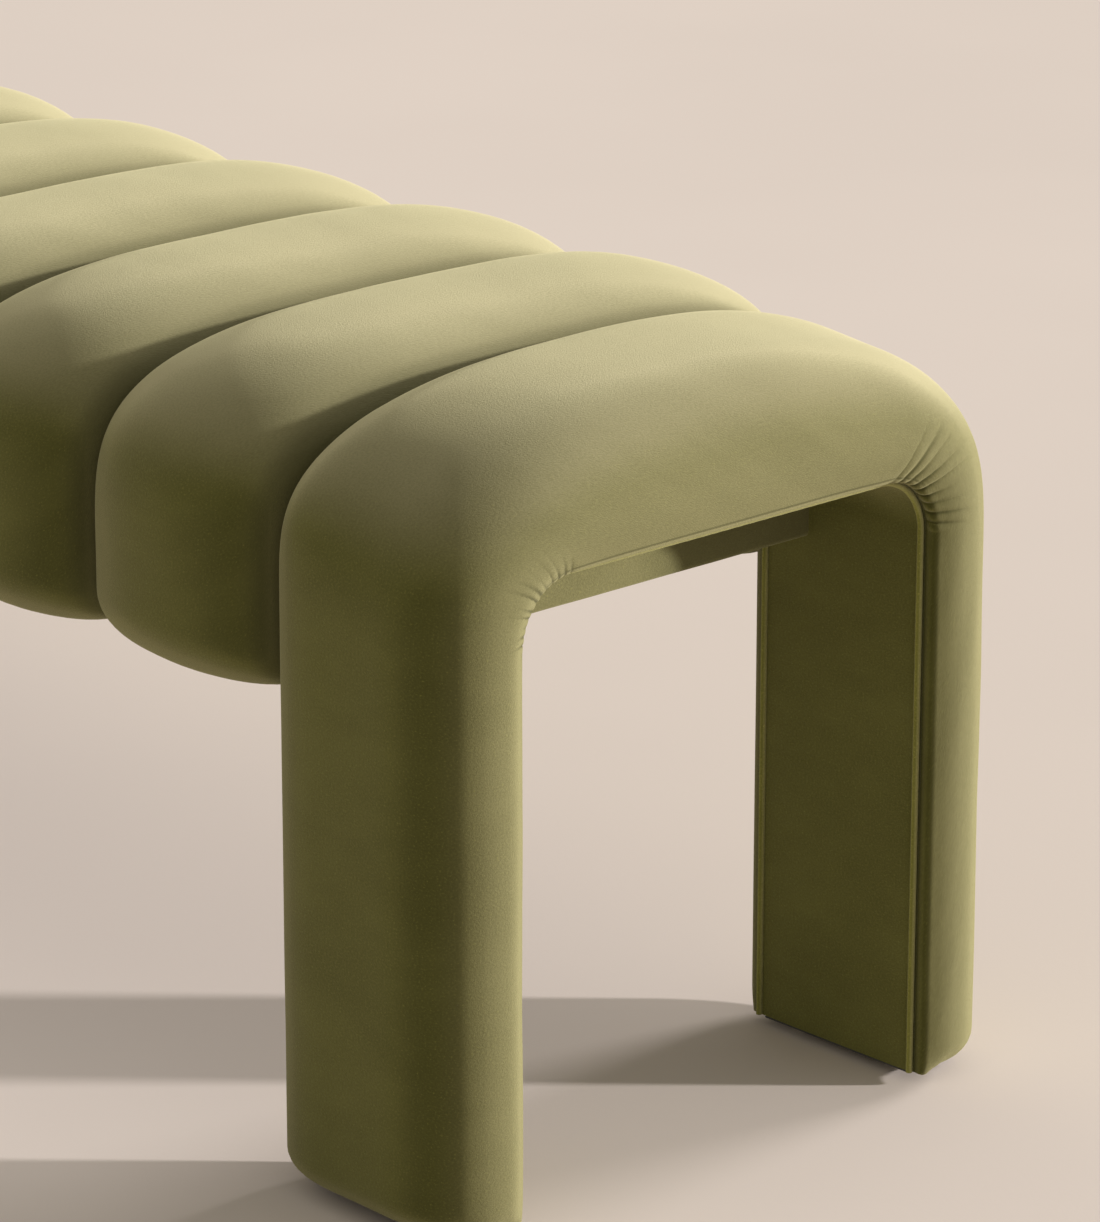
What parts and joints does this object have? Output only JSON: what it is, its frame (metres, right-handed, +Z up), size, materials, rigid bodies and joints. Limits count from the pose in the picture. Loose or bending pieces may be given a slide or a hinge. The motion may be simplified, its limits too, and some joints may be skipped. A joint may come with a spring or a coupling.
{
  "type": "upholstered bench",
  "caption": "Backless bench with a channelled velvet seat carried by two upholstered arch-shaped ends, open through the arches and under the seat.",
  "frame": {"origin": "on the floor, under the middle of the bench", "axes": "+X along the bench to the right end, -Y to the front, +Z up"},
  "size_m": [1.5194, 0.434, 0.449],
  "materials": {
    "velvet": "olive green velvet with a short pile and a soft sheen",
    "lining_velvet": "the same velvet pulled flat over a board",
    "piping_velvet": "the same velvet sewn round a cord",
    "foam": "open-cell upholstery foam",
    "plywood": "birch plywood, sanded",
    "hardwood": "sawn and planed hardwood, unfinished",
    "black_cloth": "black spunbond cloth",
    "nylon": "moulded nylon",
    "zinc_steel": "zinc-plated steel"
  },
  "bodies": {
    "root": {"front_rail": "hardwood", "back_rail": "hardwood", "front_apron": "hardwood", "back_apron": "hardwood", "seat_deck": "plywood", "end_rail_left": "hardwood", "end_rail_right": "hardwood", "cross_rail_left": "hardwood", "cross_rail_middle": "hardwood", "cross_rail_right": "hardwood", "leg_post_left_front": "hardwood", "leg_post_left_back": "hardwood", "leg_post_right_front": "hardwood", "leg_post_right_back": "hardwood", "arch_top_rail_left": "hardwood", "arch_top_rail_right": "hardwood", "glue_blocks_left": "hardwood", "glue_blocks_right": "hardwood", "lining_board_left": "plywood", "lining_board_right": "plywood", "lining_cover_left": "lining_velvet", "lining_cover_right": "lining_velvet", "piping_left": "piping_velvet", "piping_right": "piping_velvet", "arch_foam_left": "foam", "arch_foam_right": "foam", "arch_cover_left": "velvet", "arch_cover_right": "velvet", "fascia_cover_left": "velvet", "fascia_cover_right": "velvet", "channel_foam_1": "foam", "channel_foam_2": "foam", "channel_foam_3": "foam", "channel_foam_4": "foam", "channel_foam_5": "foam", "channel_foam_6": "foam", "channel_foam_7": "foam", "channel_foam_8": "foam", "channel_cover_1": "velvet", "channel_cover_2": "velvet", "channel_cover_3": "velvet", "channel_cover_4": "velvet", "channel_cover_5": "velvet", "channel_cover_6": "velvet", "channel_cover_7": "velvet", "channel_cover_8": "velvet", "dust_cover": "black_cloth", "base_cloths_left": "black_cloth", "base_cloths_right": "black_cloth", "glides_left": "nylon", "glides_right": "nylon", "arch_bolts": "zinc_steel", "bolt_washers": "zinc_steel", "tee_nuts": "zinc_steel", "deck_screws": "zinc_steel", "end_rail_screws": "zinc_steel"}
  },
  "joints": []
}
